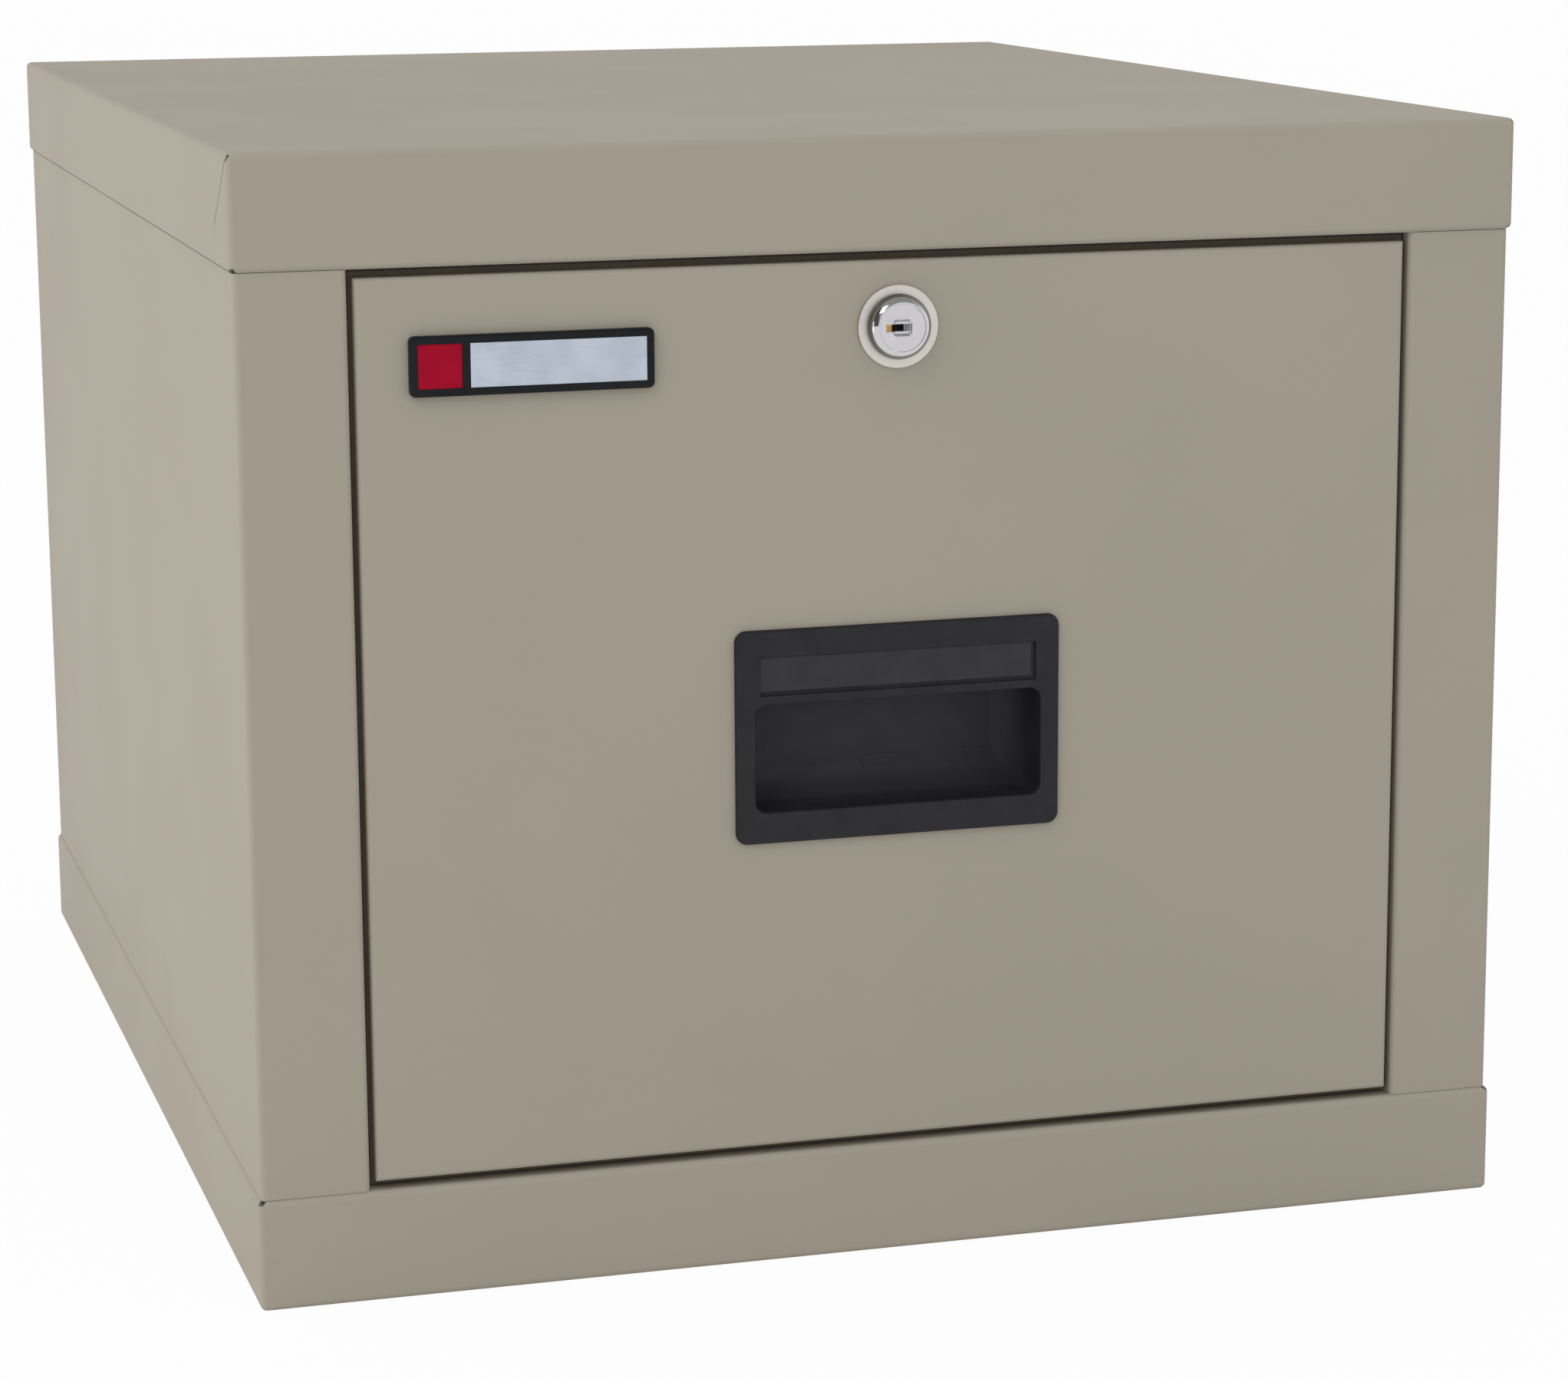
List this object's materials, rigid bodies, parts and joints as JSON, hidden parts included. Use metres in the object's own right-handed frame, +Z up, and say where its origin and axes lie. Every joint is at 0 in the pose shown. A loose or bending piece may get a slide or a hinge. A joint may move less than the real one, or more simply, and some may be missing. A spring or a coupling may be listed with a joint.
{
  "type": "insulated file drawer cabinet",
  "caption": "Low insulated steel cabinet with a full-width locking drawer, a recessed pull and a folded top cap and base, for papers kept safe from fire.",
  "frame": {"origin": "centre of the flat underside of the base pan, on the surface that the cabinet stands on", "axes": "+X to the right seen from the front, the drawer faces and opens along -Y, +Z up"},
  "size_m": [0.451, 0.5673, 0.389],
  "materials": {
    "case_paint": "fine-textured baked enamel, parchment",
    "front_paint": "fine-textured baked enamel, parchment",
    "liner_paint": "smooth baked enamel, parchment",
    "cast_filling": "rough cast gypsum and vermiculite",
    "bare_steel": "mill finish sheet",
    "zinc": "bright zinc plate",
    "ball_steel": "polished bearing steel",
    "seal_fibre": "woven ceramic fibre tape",
    "black_moulding": "fine grained moulding",
    "label_plastic": "smooth sheet",
    "plate_black": "satin moulding",
    "plate_silver": "brushed foil",
    "plate_red": "plain enamel",
    "chrome": "polished",
    "nickel": "satin nickel",
    "plug_nickel": "satin",
    "brass": "machined",
    "screw_steel": "zinc plated"
  },
  "bodies": {
    "cabinet": {"top_cap": "case_paint", "outer_wrapper": "case_paint", "base_pan": "case_paint", "header_plate": "case_paint", "sill_plate": "case_paint", "strike_box": "bare_steel", "cabinet_insulation": "cast_filling", "compartment_liner": "liner_paint", "slide_outer_left": "zinc", "slide_outer_right": "zinc", "slide_cabinet_screws": "screw_steel"},
    "drawer": {"drawer_front_panel": "front_paint", "head_insulation": "cast_filling", "head_back_plate": "liner_paint", "heat_seal": "seal_fibre", "pull_housing": "black_moulding", "label_plate": "label_plastic", "nameplate_base": "plate_black", "nameplate_field": "plate_silver", "nameplate_accent": "plate_red", "lock_rose": "nickel", "lock_housing": "chrome", "lock_nut": "zinc", "lock_case": "bare_steel", "tray_floor": "liner_paint", "tray_side_left": "liner_paint", "tray_side_right": "liner_paint", "tray_front": "liner_paint", "drawer_back": "liner_paint", "tray_screws": "screw_steel", "slide_inner_left": "zinc", "slide_inner_right": "zinc", "slide_drawer_screws": "screw_steel"},
    "slide_middles": {"slide_middle_left": "zinc", "slide_middle_right": "zinc"},
    "outer_cages": {"outer_ball_cages": "zinc", "outer_balls": "ball_steel"},
    "inner_cages": {"inner_ball_cages": "zinc", "inner_balls": "ball_steel"},
    "lock_core": {"lock_plug": "plug_nickel", "key_tumbler": "brass", "keyway_guard": "screw_steel", "lock_cam": "zinc", "cam_screw": "screw_steel"},
    "bolt": {"lock_bolt": "bare_steel"}
  },
  "joints": [
    {"name": "drawer_slide", "type": "slide", "parent": "cabinet", "child": "drawer", "axis": [0, -1, 0], "range_m": [0, 0.43]},
    {"name": "middle_slide", "type": "slide", "parent": "cabinet", "child": "slide_middles", "axis": [0, -1, 0], "range_m": [0, 0.215]},
    {"name": "outer_cage_roll", "type": "slide", "parent": "cabinet", "child": "outer_cages", "axis": [0, -1, 0], "range_m": [0, 0.1075]},
    {"name": "inner_cage_roll", "type": "slide", "parent": "cabinet", "child": "inner_cages", "axis": [0, -1, 0], "range_m": [0, 0.3225]},
    {"name": "key_turn", "type": "hinge", "parent": "drawer", "child": "lock_core", "pos_m": [0, -0.27, 0.325], "axis": [0, -1, 0], "range_deg": [0, 90]},
    {"name": "bolt_slide", "type": "slide", "parent": "drawer", "child": "bolt", "axis": [0, 0, 1], "range_m": [0, 0.0113]}
  ],
  "couplings": [
    {"joint": "middle_slide", "follows": "drawer_slide", "ratio": 0.5},
    {"joint": "outer_cage_roll", "follows": "drawer_slide", "ratio": 0.25},
    {"joint": "inner_cage_roll", "follows": "drawer_slide", "ratio": 0.75},
    {"joint": "key_turn", "follows": "bolt_slide", "rad_per_m": 139}
  ]
}
